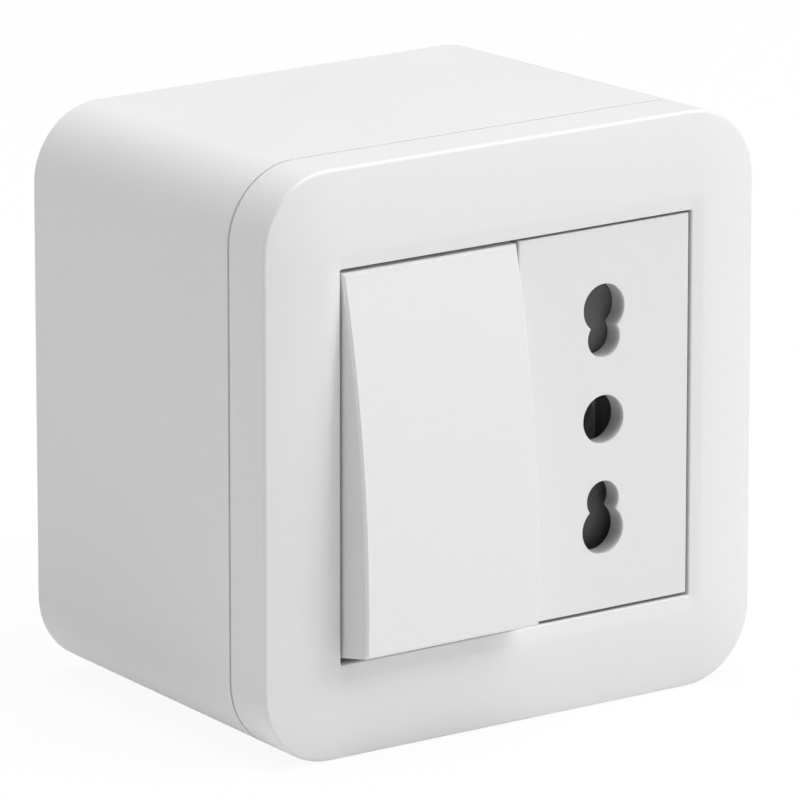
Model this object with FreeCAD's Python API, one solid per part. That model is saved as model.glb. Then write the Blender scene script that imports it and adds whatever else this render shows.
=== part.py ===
import FreeCAD, Part
import math
import os

# Surface-mounted switch and socket combination: a box on the wall, a support frame, a rocker
# switch module and a two-size socket module side by side, and a cover frame around them.
# Millimetres. X runs to the right, Z up, and the front looks along -Y. The origin is the
# centre of the back face, which lies on the wall. Depths are counted from the front plane,
# the plane of the cover's window edge, towards the wall.

Vector = FreeCAD.Vector

# Modules and the window that shows them
module_width = 24.0
module_height = 44.9
module_gap = 0.4
side_gap = 0.3
end_gap = 0.35

# Case: the front is the window plus its borders, and the sides draw in towards the wall
border_side = 9.6
border_end = 11.3
case_depth = 48.6
draft_side = 0.88
draft_end = 0.86
corner_radius = 8.8
wall = 2.0
back_wall = 2.4
back_edge_chamfer = 0.4

# Seam between box and cover
seam_depth = 8.15
seam_gap = 0.25
tongue_length = 1.8
tongue_clearance = 0.1

# Front surface of the cover, in its section from the window to the outer edge
crest_share = 0.16
crest_rise = 0.17
crown_drop = 1.35
crown_start_share = 0.35
crown_steps = 3
crown_overrun = 1.05
front_edge_chamfer = 0.35
window_corner_radius = 0.25
cover_ceiling = 2.35
collar_wall = 1.2

# Support frame
seat_depth = 6.8
plate_thickness = 2.0
plate_clearance = 0.3
opening_clearance = 0.2
body_side_clearance = 0.2
body_step = 1.35

# Snap hooks of the cover
hook_width = 4.0
hook_thickness = 1.4
hook_barb = 0.5
hook_nose = 1.5
hook_clearance = 0.15
hook_x = 14.0

# Screws that hold the support frame to the box
frame_screw_radius = 1.4
frame_screw_length = 12.0
frame_head_radius = 2.5
frame_head_height = 1.8
thread_clearance = 0.05
slot_travel = 1.2
column_half = 2.9

# Wall fixing slots and knock-outs of the box
wall_slot_spacing = 40.0
wall_slot_width = 4.4
wall_slot_length = 8.0
knockout_width = 22.0
knockout_height = 12.0
groove_width = 0.7
groove_depth = 1.0

# Module bodies and their terminals
body_length = 20.0
pocket_depth = 4.6
pocket_side = 8.0
terminal_side = 7.0
terminal_thickness = 1.0
clamp_gap = 0.9
clamp_thickness = 1.0
clamp_lip = 0.5
terminal_screw_radius = 1.3
terminal_head_radius = 2.3
terminal_head_height = 1.6
driver_slot_width = 0.7
driver_slot_depth = 0.7
tooth_width = 6.0
tooth_height = 0.9
tooth_length = 2.5
wire_notch = 3.0

# Snap arms that hold the two halves of each module together
arm_margin = 1.9
arm_offset = -6.5
arm_reach = 7.0

# Rocker
rocker_angle = 6.0
hinge_depth = 3.7
crown_height = 3.8
crown_radius = 165.0
rocker_end_gap = 0.65
end_draft = 5.0
skirt_end_depth = 3.0
skirt_middle_depth = 5.0
skirt_middle_half = 3.5
rocker_front_wall = 1.8
rocker_side_wall = 1.6
rocker_edge_chamfer = 0.3
pivot_radius = 1.5
pivot_clearance = 0.06
ear_radius = 2.6
ear_thickness = 1.8
ear_gap = 0.3
flange_thickness = 1.0

# Switch mechanism
sleeve_radius = 2.8
sleeve_reach = 5.5
plunger_radius = 1.65
plunger_clearance = 0.05
plunger_reach = 12.0
plunger_top = 1.0
plunger_nose_radius = 0.5
plunger_nose_length = 1.6
plunger_spring_wire = 0.36
plunger_spring_turns = 5
blade_clearance = 0.12
blade_thickness = 0.8
blade_width = 5.0
blade_end_gap = 2.2
blade_angle = 9.5
blade_ridge_radius = 0.8
contact_inset = 3.6
contact_radius = 1.3
contact_height = 0.7
contact_clearance = 0.12
chamber_half_width = 5.0
chamber_end_wall = 8.5
chamber_floor = 1.2
strip_thickness = 1.0
strip_width = 3.0
strip_slot_clearance = 0.15
mechanism_clearance = 0.4
stop_clearance = 0.15

# Socket: two pin sizes share each keyhole
face_recess = 0.17
face_wall = 2.4
cap_wall = 1.4
face_edge_radius = 0.2
large_hole_radius = 2.86
small_hole_radius = 2.24
earth_hole_radius = 2.83
large_pitch = 26.0
small_pitch = 19.0
large_jaw_half = 2.4
small_jaw_half = 1.9
clip_wall = 0.6
clip_start = 9.0
clip_length = 8.0
clip_room = 0.4
terminal_shift = 1.3
guide_wall = 2.5
cap_clearance = 0.1

# Shutter
shutter_chamber = 3.45
shutter_stop_gap = 0.23
shutter_overlap = 0.34
shutter_bar = 1.0
shutter_end = 16.4
shutter_inner_end = 6.9
upper_blade_gap = 0.12
lower_blade_gap = 1.2
shutter_running_gap = 0.1
ramp_drop = 1.6
lug_width = 1.0
spring_line = 5.0
shutter_spring_radius = 0.95
shutter_spring_wire = 0.32
shutter_spring_turns = 6
spring_seat_gap = 0.05
coil_sides = 8

# Two places count as one below this distance
same_place = 1e-6

# Worked out from the values above
window_width = 2 * module_width + module_gap + 2 * side_gap
window_height = module_height + 2 * end_gap
front_width = window_width + 2 * border_side
front_height = window_height + 2 * border_end
switch_x = -(module_width + module_gap) / 2
socket_x = -switch_x
plate_back = seat_depth + plate_thickness
body_height = module_height - 2 * body_step
body_width = module_width - 2 * body_side_clearance
body_back = seat_depth + body_length
arm_inner_z = body_height / 2 - arm_margin - hook_thickness
rocker_half_height = module_height / 2 - rocker_end_gap
chamber_half_height = body_height / 2 - chamber_end_wall
contact_arm = chamber_half_height - contact_inset
blade_half_length = chamber_half_height - blade_end_gap
shutter_left = large_hole_radius + shutter_overlap
shutter_right = earth_hole_radius + shutter_overlap + shutter_bar
shutter_travel = module_width / 2 - cap_wall - shutter_right - shutter_stop_gap
pocket_floor = body_back - pocket_depth
box_rim = seam_depth + seam_gap / 2
cover_rim = seam_depth - seam_gap / 2
flange_front = seat_depth - flange_thickness
face_back = face_recess + face_wall
base_front = face_back + shutter_chamber
collar_outer = window_width / 2 + collar_wall
frame_screw_x = (collar_outer + front_width / 2 - wall) / 2
blade_axis_depth = hinge_depth + plunger_reach + blade_clearance + blade_thickness
chamber_back = pocket_floor - chamber_floor
line_terminal_height = large_pitch / 2 + terminal_shift
spring_groove_half = shutter_spring_radius + shutter_spring_wire / 2 + mechanism_clearance / 2


def y_of(depth):
    """Y of the plane that lies this far behind the front plane."""
    return depth - case_depth


def outline(width, height, radius, depth, x=0.0, z=0.0):
    """Closed outline of a rectangle with round corners, parallel to the wall."""
    y = y_of(depth)
    half_x = width / 2 - radius
    half_z = height / 2 - radius
    edges = []
    for quarter in range(4):
        start = math.radians(90 * quarter)
        centre_x = x + half_x * (1 if quarter in (0, 3) else -1)
        centre_z = z + half_z * (1 if quarter in (0, 1) else -1)
        arc = []
        for share in (0.0, 0.5, 1.0):
            angle = start + share * math.pi / 2
            arc.append(Vector(centre_x + radius * math.cos(angle), y, centre_z + radius * math.sin(angle)))
        edges.append(Part.Arc(*arc).toShape())
    loop = []
    for index, edge in enumerate(edges):
        following = edges[(index + 1) % 4]
        loop.append(edge)
        loop.append(Part.LineSegment(edge.valueAt(edge.LastParameter),
                                     following.valueAt(following.FirstParameter)).toShape())
    return Part.Wire(loop)


def case_corners(depth, inset):
    """Sharp corners of the case at a depth, drawn in by its draft and by an inset."""
    half_x = front_width / 2 - draft_side * depth / case_depth - inset
    half_z = front_height / 2 - draft_end * depth / case_depth - inset
    return [Vector(x, y_of(depth), z) for x, z in mirrored_places(half_x, half_z)]


def case_solid(depth0, depth1, inset=0.0):
    """Solid that fills the case between two depths, with its drafted sides and round corners."""
    front = case_corners(depth0, inset)
    back = case_corners(depth1, inset)
    faces = [Part.Face(Part.makePolygon(front + front[:1])), Part.Face(Part.makePolygon(back + back[:1]))]
    for index in range(4):
        after = (index + 1) % 4
        side = [front[index], front[after], back[after], back[index], front[index]]
        faces.append(Part.Face(Part.makePolygon(side)))
    solid = Part.Solid(Part.Shell(faces))
    long_edges = [edge for edge in solid.Edges if edge.BoundBox.YLength > (depth1 - depth0) / 2]
    return solid.makeFillet(corner_radius - inset, long_edges)


def thick(wire, length):
    """Solid that an outline sweeps as it moves towards the wall."""
    return Part.Face(wire).extrude(Vector(0, length, 0))


def block(x0, x1, depth0, depth1, z0, z1):
    """Plain block between two corners, with depths in place of Y."""
    return Part.makeBox(x1 - x0, depth1 - depth0, z1 - z0, Vector(x0, y_of(depth0), z0))


def rod(x, z, radius, depth0, depth1):
    """Round rod square to the wall."""
    return Part.makeCylinder(radius, depth1 - depth0, Vector(x, y_of(depth0), z), Vector(0, 1, 0))


def cross_rod(x0, x1, depth, z, radius):
    """Round rod that lies along X."""
    return Part.makeCylinder(radius, x1 - x0, Vector(x0, y_of(depth), z), Vector(1, 0, 0))


def side_profile(points, x0, x1):
    """Prism along X from (depth, z) points."""
    corners = [Vector(x0, y_of(depth), z) for depth, z in points]
    return Part.Face(Part.makePolygon(corners + corners[:1])).extrude(Vector(x1 - x0, 0, 0))


def top_profile(points, z0, z1):
    """Prism along Z from (x, depth) points."""
    corners = [Vector(x, y_of(depth), z0) for x, depth in points]
    return Part.Face(Part.makePolygon(corners + corners[:1])).extrude(Vector(0, 0, z1 - z0))


def joined(shapes):
    """One solid from pieces that meet."""
    return shapes[0].multiFuse(shapes[1:]).removeSplitter()


def turned(shape, angle, depth, z=0.0):
    """Shape turned about an axis along X."""
    copy = shape.copy()
    copy.rotate(Vector(0, y_of(depth), z), Vector(1, 0, 0), angle)
    return copy


def span(side, low, high):
    """Heights from low to high above the middle, or below it if side is -1, in rising order."""
    return sorted((side * low, side * high))


def mirrored_places(x, z):
    """The four places that share a distance from the middle each way."""
    return [(x, z), (-x, z), (-x, -z), (x, -z)]


def screw(x, z, seat, towards_wall, radius, length, head_radius, head_height):
    """Slotted screw with a round head that sits on the plane at depth seat."""
    way = 1 if towards_wall else -1
    head = Part.makeCylinder(head_radius, head_height, Vector(x, y_of(seat), z), Vector(0, -way, 0))
    shank = Part.makeCylinder(radius, length, Vector(x, y_of(seat), z), Vector(0, way, 0))
    top = seat - way * head_height
    bottom = top + way * driver_slot_depth
    slot = block(x - head_radius, x + head_radius, min(top, bottom), max(top, bottom),
                 z - driver_slot_width / 2, z + driver_slot_width / 2)
    return joined([head.cut(slot), shank])


def coil(radius, wire, turns, length, start, direction):
    """Compression spring wound from short straight lengths of square wire."""
    rise = (length - wire) / (turns * coil_sides)
    path = []
    for step in range(turns * coil_sides + 1):
        angle = 2 * math.pi * step / coil_sides
        path.append(Vector(radius * math.cos(angle), radius * math.sin(angle), wire / 2 + rise * step))
    half = wire / 2
    section = [Vector(radius + x, 0, half + z) for x, z in mirrored_places(half, half)]
    spring = Part.makePolygon(path).makePipeShell([Part.makePolygon(section + section[:1])], True, False, 1)
    spring.Placement = FreeCAD.Placement(start, FreeCAD.Rotation(Vector(0, 0, 1), direction))
    return spring


def surface_box():
    """Open box with screw columns, wall slots and grooved knock-outs."""
    shell = case_solid(box_rim, case_depth)
    back_edges = [edge for edge in shell.Edges if edge.BoundBox.YMin > -same_place]
    shell = shell.makeChamfer(back_edge_chamfer, back_edges)
    floor = case_depth - back_wall
    additions = [shell.cut(case_solid(box_rim - wall, floor, wall))]
    rebate_end = box_rim + tongue_length + tongue_clearance
    reach = front_width / 2 - wall / 2 - draft_side
    outer = frame_screw_x + column_half
    for side in (-1, 1):
        places = span(side, frame_screw_x - column_half, outer)
        column = block(*places, plate_back, floor, -column_half, column_half)
        web = block(*span(side, outer, reach), rebate_end, floor, -column_half / 2, column_half / 2)
        additions += [column, web]
    rebate = case_solid(box_rim - wall, rebate_end, wall / 2)
    rebate = rebate.cut(case_solid(box_rim - 2 * wall, case_depth, wall + tongue_clearance))
    body = joined(additions).cut(rebate)
    for side in (-1, 1):
        pilot = rod(side * frame_screw_x, 0, frame_screw_radius + thread_clearance, plate_back,
                    plate_back + frame_screw_length)
        slot = long_hole(side * wall_slot_spacing / 2, wall_slot_length, wall_slot_width, floor, case_depth)
        body = body.cut(pilot).cut(slot)
    for groove in knockout_grooves(floor):
        body = body.cut(groove)
    return body


def knockout_grooves(floor):
    """Grooves inside the top, bottom and back, round the panels that are pushed out for the wires."""
    half_x = knockout_width / 2
    half_z = knockout_height / 2
    panel = block(-half_x, half_x, floor, floor + groove_depth, -half_z, half_z)
    half_x += groove_width
    half_z += groove_width
    grooves = [block(-half_x, half_x, floor, floor + groove_depth, -half_z, half_z).cut(panel)]
    depth1 = floor - knockout_height / 2
    depth0 = depth1 - knockout_height
    for side in (-1, 1):
        inner = front_height / 2 - draft_end * depth0 / case_depth - wall
        heights = span(side, inner - groove_depth, inner + groove_depth)
        panel = block(-knockout_width / 2, knockout_width / 2, depth0, depth1, *heights)
        ring = block(-half_x, half_x, depth0 - groove_width, depth1 + groove_width, *heights)
        grooves.append(ring.cut(panel))
    return grooves


def long_hole(x, length, width, depth0, depth1):
    """Slot shape along X with round ends, on the middle height."""
    radius = width / 2
    reach = length / 2 - radius
    ends = [rod(x + side * reach, 0, radius, depth0, depth1) for side in (-1, 1)]
    return joined([block(x - reach, x + reach, depth0, depth1, -radius, radius)] + ends)


def front_outline(share, depth):
    """Outline a share of the way from the window's edge to the cover's outer edge."""
    width = window_width + 2 * share * border_side
    height = window_height + 2 * share * border_end
    radius = window_corner_radius + share * (corner_radius - window_corner_radius)
    return outline(width, height, radius, depth)


def cover_frame():
    """Window frame with a crowned front, a side band, a collar, a tongue and snap hooks."""
    crown = []
    for step in range(crown_steps + 1):
        along = step * crown_overrun / crown_steps
        drop = crown_drop * (crown_start_share * along + (1 - crown_start_share) * along ** 2)
        share = crest_share + (1 - crest_share) * along
        crown.append(front_outline(share, drop - crest_rise))
    dome = Part.makeLoft(crown[::-1], True, True)
    base_depth = drop - crest_rise
    body = joined([case_solid(-wall, base_depth).common(dome), case_solid(base_depth, cover_rim)])
    middle = y_of(cover_rim / 2)
    corner = [edge for edge in body.Edges if edge.BoundBox.YMax < middle and edge.BoundBox.YMin > y_of(0.0)]
    body = body.makeChamfer(front_edge_chamfer, corner)
    dish = Part.makeLoft([front_outline(crest_share, -crest_rise), front_outline(0.0, 0.0)], True, True)
    body = body.cut(dish).cut(case_solid(cover_ceiling, seam_depth, wall))
    root = cover_ceiling / 2
    collar = thick(outline(window_width + 2 * collar_wall, window_height + 2 * collar_wall,
                           window_corner_radius + collar_wall, root), seat_depth - root)
    inner = wall / 2 + tongue_clearance
    tongue = case_solid(cover_ceiling, cover_rim + tongue_length, inner)
    tongue = tongue.cut(case_solid(0.0, body_back, wall))
    body = joined([body, collar, tongue] + cover_hooks())
    return body.cut(thick(front_outline(0.0, -1.0), body_back))


def hook_inner_z():
    """Height of the hooks' inner face, in the middle of the border behind the cover."""
    free = border_end - collar_wall - wall - plate_clearance
    return window_height / 2 + collar_wall + (free - hook_thickness) / 2


def hook(x, side, root, catch, inner):
    """Snap hook from its root to just behind the edge it catches, with a sloping nose."""
    outer = inner + hook_thickness
    points = [(root, inner), (root, outer), (catch + hook_clearance, outer),
              (catch + hook_clearance, outer + hook_barb), (catch + hook_clearance + hook_nose, inner)]
    placed = [(depth, side * z) for depth, z in points]
    return side_profile(placed, x - hook_width / 2, x + hook_width / 2)


def hook_room(x, side, front, catch, inner):
    """Channel in which a snap hook flexes, with the ledge it catches behind."""
    half = hook_width / 2 + hook_clearance
    outer = inner + hook_thickness + hook_clearance
    depth1 = catch + hook_nose + 2 * hook_clearance
    low = inner - hook_barb - hook_clearance
    rooms = [block(x - half, x + half, front, depth1, *span(side, low, outer)),
             block(x - half, x + half, catch, depth1, *span(side, low, outer + hook_barb))]
    return joined(rooms)


def cover_hooks():
    """Four hooks that pass through the support frame and catch behind it."""
    root = cover_ceiling / 2
    return [hook(x, side, root, plate_back, hook_inner_z()) for x, side in mirrored_places(hook_x, 1)]


def support_frame():
    """Plate that carries both modules and is screwed to the columns of the box."""
    plate = case_solid(seat_depth, plate_back, wall + plate_clearance)
    opening_width = 2 * body_width + module_gap + 2 * body_side_clearance + 2 * opening_clearance
    opening_height = body_height + 2 * opening_clearance
    opening = outline(opening_width, opening_height, opening_clearance, seat_depth)
    plate = plate.cut(thick(opening, plate_thickness))
    hole = 2 * (frame_screw_radius + opening_clearance)
    for side in (-1, 1):
        plate = plate.cut(long_hole(side * frame_screw_x, hole + slot_travel, hole, seat_depth, plate_back))
    for x, side in mirrored_places(hook_x, 1):
        low = hook_inner_z() - hook_clearance
        high = hook_inner_z() + hook_thickness + hook_clearance
        half = hook_width / 2 + hook_clearance
        plate = plate.cut(block(x - half, x + half, seat_depth, plate_back, *span(side, low, high)))
    return plate


def support_screws():
    """Two screws through the support frame into the columns."""
    return Part.makeCompound([
        screw(side * frame_screw_x, 0, seat_depth, True, frame_screw_radius, frame_screw_length,
              frame_head_radius, frame_head_height) for side in (-1, 1)])


def module_body(x, front):
    """Moulded block behind the support frame, with snap teeth above and below."""
    half_x = body_width / 2
    body = block(x - half_x, x + half_x, seat_depth, body_back, -body_height / 2, body_height / 2)
    teeth = []
    for side in (-1, 1):
        edge = side * body_height / 2
        start = plate_back + hook_clearance
        points = [(start, edge), (start, edge + side * tooth_height), (start + tooth_length, edge)]
        teeth.append(side_profile(points, x - tooth_width / 2, x + tooth_width / 2))
    body = joined([body] + teeth)
    if front < seat_depth:
        inset = cap_wall + cap_clearance
        spigot = block(x - module_width / 2 + inset, x + module_width / 2 - inset, front, seat_depth,
                       -module_height / 2 + inset, module_height / 2 - inset)
        body = joined([body, spigot])
    return body


def terminal_pocket(x, z):
    """Room for a screw terminal at the back of a module, with a notch for the wire."""
    half = pocket_side / 2
    pocket = block(x - half, x + half, pocket_floor, body_back, z - half, z + half)
    notch = block(x - wire_notch / 2, x + wire_notch / 2, pocket_floor + terminal_thickness, body_back,
                  z + half, z + half + wire_notch / 2)
    return joined([pocket, notch])


def terminal_plate(x, z):
    """Brass plate with the thread of a terminal screw."""
    half = terminal_side / 2
    back = pocket_floor + terminal_thickness
    plate = block(x - half, x + half, pocket_floor, back, z - half, z + half)
    return plate.cut(rod(x, z, terminal_screw_radius + thread_clearance, pocket_floor, back))


def clamp_plate(x, z):
    """Forked washer with two turned-down lips that presses on the wire."""
    half = terminal_side / 2
    front = pocket_floor + terminal_thickness + clamp_gap
    washer = block(x - half, x + half, front, front + clamp_thickness, z - half, z + half)
    lips = [block(x0, x0 + clamp_lip, front - clamp_lip, front, z - half, z + half)
            for x0 in (x - half, x + half - clamp_lip)]
    reach = terminal_screw_radius + thread_clearance
    fork = block(x - reach, x + reach, front, front + clamp_thickness, z - half, z + reach)
    return joined([washer] + lips).cut(fork)


def terminal_screw(x, z):
    """Screw that draws the clamp plate towards the terminal plate."""
    seat = pocket_floor + terminal_thickness + clamp_gap + clamp_thickness
    return screw(x, z, seat, False, terminal_screw_radius, seat - pocket_floor, terminal_head_radius,
                 terminal_head_height)


def rocker_shell(inset_front, inset_end, half_width, back_extra):
    """Rocker form level with the front plane: a long crown, drafted ends and a stepped skirt."""
    top = -crown_height + inset_front
    radius = crown_radius - inset_front
    half = rocker_half_height - inset_end
    sag = radius - math.sqrt(radius ** 2 - half ** 2)
    slope = math.tan(math.radians(end_draft))
    x0 = switch_x - half_width
    front_edge = Part.Arc(Vector(x0, y_of(top + sag), half), Vector(x0, y_of(top), 0),
                          Vector(x0, y_of(top + sag), -half)).toShape()
    skirt_end = skirt_end_depth + back_extra
    end_half = half + slope * (skirt_end - top - sag)
    skirt_middle = skirt_middle_depth + back_extra
    rest = [(top + sag, -half), (skirt_end, -end_half), (skirt_middle, -skirt_middle_half),
            (skirt_middle, skirt_middle_half), (skirt_end, end_half), (top + sag, half)]
    corners = [Vector(x0, y_of(depth), z) for depth, z in rest]
    edges = [front_edge] + [Part.LineSegment(a, b).toShape() for a, b in zip(corners, corners[1:])]
    return Part.Face(Part.Wire(edges)).extrude(Vector(2 * half_width, 0, 0))


def level_rocker():
    """Rocker before it is tilted: hollow shell, pivots, plunger sleeve and ribs."""
    half_width = module_width / 2
    shell = rocker_shell(0.0, 0.0, half_width, 0.0)
    face_edges = [edge for edge in shell.Edges if edge.BoundBox.YMax < y_of(0.0)]
    shell = shell.makeChamfer(rocker_edge_chamfer, face_edges)
    inner_half = half_width - rocker_side_wall
    shell = shell.cut(rocker_shell(rocker_front_wall, rocker_side_wall, inner_half, rocker_front_wall))
    ceiling = -crown_height + rocker_front_wall / 2
    additions = [shell, rod(switch_x, 0, sleeve_radius, ceiling, hinge_depth + sleeve_reach)]
    stub = ear_gap + ear_thickness
    rib = rocker_side_wall / 2
    rib_depth = skirt_end_depth - rocker_front_wall
    core = rocker_shell(rocker_front_wall / 2, rib, inner_half, 0.0)
    for side in (-1, 1):
        x0, x1 = span(side, inner_half - stub, inner_half + rocker_side_wall / 2)
        additions.append(cross_rod(switch_x + x0, switch_x + x1, hinge_depth, 0, pivot_radius))
        web = block(switch_x - rib / 2, switch_x + rib / 2, -crown_height, rib_depth,
                    *span(side, sleeve_radius - rib, rocker_half_height))
        additions.append(web.common(core))
    bore = rod(switch_x, 0, plunger_radius + plunger_clearance, -crown_height + rocker_front_wall,
               hinge_depth + sleeve_reach)
    return joined(additions).cut(bore)


def rocker():
    """Rocker at rest, its lower half standing out."""
    return turned(level_rocker(), -rocker_angle, hinge_depth)


def plunger():
    """Spring-loaded plunger with a tapered nose, in the rocker's sleeve."""
    tip = hinge_depth + plunger_reach
    body = rod(switch_x, 0, plunger_radius, hinge_depth + plunger_top, tip - plunger_nose_length)
    nose = Part.makeCone(plunger_radius, plunger_nose_radius, plunger_nose_length,
                         Vector(switch_x, y_of(tip - plunger_nose_length), 0), Vector(0, 1, 0))
    return turned(joined([body, nose]), -rocker_angle, hinge_depth)


def plunger_spring():
    """Spring between the bottom of the sleeve and the plunger."""
    start = -crown_height + rocker_front_wall + spring_seat_gap
    end = hinge_depth + plunger_top - spring_seat_gap
    radius = plunger_radius - plunger_spring_wire / 2 - plunger_clearance
    spring = coil(radius, plunger_spring_wire, plunger_spring_turns, end - start,
                  Vector(switch_x, y_of(start), 0), Vector(0, 1, 0))
    return turned(spring, -rocker_angle, hinge_depth)


def switch_plate():
    """Front half of the switch: a flange in the window, two pivot ears and two snap arms."""
    half_width = module_width / 2
    flange = block(switch_x - half_width, switch_x + half_width, flange_front, seat_depth,
                   -module_height / 2, module_height / 2)
    parts = [flange]
    ear_outer = half_width - rocker_side_wall - ear_gap
    for side in (-1, 1):
        x0 = switch_x + span(side, ear_outer - ear_thickness, ear_outer)[0]
        parts.append(cross_rod(x0, x0 + ear_thickness, hinge_depth, 0, ear_radius))
        parts.append(block(x0, x0 + ear_thickness, hinge_depth, seat_depth, -ear_radius, ear_radius))
        parts.append(hook(switch_x + arm_offset, side, flange_front, seat_depth + arm_reach, arm_inner_z))
    plate = joined(parts)
    plate = plate.cut(cross_rod(switch_x - half_width, switch_x + half_width, hinge_depth, 0,
                                pivot_radius + pivot_clearance))
    swing = sleeve_reach * math.sin(math.radians(rocker_angle))
    half = sleeve_radius + mechanism_clearance
    high = half + swing
    return plate.cut(block(switch_x - half, switch_x + half, flange_front, seat_depth, -high, high))


def switch_strip_slots():
    """Heights at which the switch's two contact strips pass the chamber floor."""
    inner = chamber_half_height - strip_thickness - strip_slot_clearance
    return inner, inner + strip_thickness


def terminal_height():
    """Distance of the switch's terminals from the middle."""
    return switch_strip_slots()[0] + terminal_side / 2


def switch_base():
    """Back half of the switch: contact chamber in front, terminal pockets behind."""
    body = module_body(switch_x, seat_depth)
    room = chamber_half_width
    body = body.cut(block(switch_x - room, switch_x + room, seat_depth, chamber_back,
                          -chamber_half_height, chamber_half_height))
    low, high = switch_strip_slots()
    half = strip_width / 2 + strip_slot_clearance
    for side in (-1, 1):
        heights = span(side, low - strip_slot_clearance, high + strip_slot_clearance)
        body = body.cut(terminal_pocket(switch_x, side * terminal_height()))
        body = body.cut(block(switch_x - half, switch_x + half, chamber_back, pocket_floor, *heights))
        body = body.cut(hook_room(switch_x + arm_offset, side, seat_depth, seat_depth + arm_reach,
                                  arm_inner_z))
    rest_depth = blade_axis_depth + contact_arm * math.sin(math.radians(blade_angle)) + stop_clearance
    stops = []
    for side in (-1, 1):
        x0, x1 = span(side, half, room + strip_thickness)
        stops.append(block(switch_x + x0, switch_x + x1, rest_depth, chamber_back + chamber_floor / 2,
                           -contact_arm, -contact_arm + contact_radius))
    return joined([body] + stops)


def contact_strip(side, inner_end):
    """Flat strip on the chamber floor that passes it and ends in a terminal plate."""
    low, high = switch_strip_slots()
    front = chamber_back - strip_thickness
    half = strip_width / 2
    floor = block(switch_x - half, switch_x + half, front, chamber_back, *span(side, inner_end, high))
    back = pocket_floor + terminal_thickness
    riser = block(switch_x - half, switch_x + half, front, back, *span(side, low, high))
    return [floor, riser, terminal_plate(switch_x, side * terminal_height())]


def common_contact():
    """Lower strip with the saddle on which the contact blade rocks."""
    saddle_half = 2 * blade_ridge_radius
    parts = contact_strip(-1, -saddle_half)
    saddle_slope = math.tan(math.radians(blade_angle))
    saddle_front = blade_axis_depth + saddle_half * saddle_slope + 2 * blade_clearance
    parts.append(block(switch_x - strip_width / 2, switch_x + strip_width / 2, saddle_front, chamber_back,
                       -saddle_half, saddle_half))
    groove = cross_rod(switch_x - strip_width, switch_x + strip_width, blade_axis_depth, 0,
                       blade_ridge_radius + pivot_clearance)
    return joined(parts).cut(groove)


def fixed_contact():
    """Upper strip under the fixed contact tip."""
    return joined(contact_strip(1, contact_arm - contact_radius))


def closed_tip_depth():
    """Depth that the moving contact tip reaches at its rim when the switch is on."""
    angle = math.radians(blade_angle)
    middle = blade_axis_depth + contact_arm * math.sin(angle) + contact_height * math.cos(angle)
    return middle + contact_radius * math.sin(angle)


def fixed_contact_tip():
    """Silver tip on the upper strip."""
    seat = chamber_back - strip_thickness
    height = seat - closed_tip_depth() - contact_clearance
    return rod(switch_x, contact_arm, contact_radius, seat - height, seat)


def level_blade():
    """Contact blade with the ridge that sits in the saddle, before it is tilted."""
    half = blade_width / 2
    back = blade_axis_depth
    blade = block(switch_x - half, switch_x + half, back - blade_thickness, back, -blade_half_length,
                  blade_half_length)
    corners = [edge for edge in blade.Edges
               if max(edge.BoundBox.ZLength, edge.BoundBox.XLength) < same_place]
    blade = blade.makeChamfer(blade_width / 4, corners)
    return joined([blade, cross_rod(switch_x - strip_width / 2, switch_x + strip_width / 2, back, 0,
                                    blade_ridge_radius)])


def contact_blade():
    """Rocking blade, its upper end lifted off the fixed contact."""
    return turned(level_blade(), blade_angle, blade_axis_depth)


def moving_contact_tip():
    """Silver tip under the blade's upper end."""
    tip = rod(switch_x, contact_arm, contact_radius, blade_axis_depth, blade_axis_depth + contact_height)
    return turned(tip, blade_angle, blade_axis_depth)


def keyhole(side, large, small, depth0, depth1):
    """Two round holes that run into each other, for the two pin sizes."""
    return joined([rod(socket_x, side * large_pitch / 2, large, depth0, depth1),
                   rod(socket_x, side * small_pitch / 2, small, depth0, depth1)])


def socket_face():
    """Front cap of the socket with two keyholes, the earth hole and two snap arms."""
    half_x = module_width / 2
    half_z = module_height / 2
    cap = block(socket_x - half_x, socket_x + half_x, face_recess, seat_depth, -half_z, half_z)
    rim = [edge for edge in cap.Edges if edge.BoundBox.YMax < y_of(face_recess) + same_place]
    cap = cap.makeFillet(face_edge_radius, rim)
    cap = cap.cut(block(socket_x - half_x + cap_wall, socket_x + half_x - cap_wall, face_back, seat_depth,
                        -half_z + cap_wall, half_z - cap_wall))
    root = face_recess + face_wall / 2
    catch = base_front + arm_reach
    cap = joined([cap] + [hook(socket_x + arm_offset, side, root, catch, arm_inner_z) for side in (-1, 1)])
    for side in (-1, 1):
        cap = cap.cut(keyhole(side, large_hole_radius, small_hole_radius, 0.0, face_back))
    return cap.cut(rod(socket_x, 0, earth_hole_radius, 0.0, face_back))


def clip_sections():
    """Inner end, outer end and half width of the two steps between a keyhole clip's jaws."""
    large_start = large_pitch / 2 - large_jaw_half
    return [(small_pitch / 2 - small_jaw_half, large_start, small_jaw_half),
            (large_start, large_pitch / 2 + large_jaw_half, large_jaw_half)]


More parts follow.
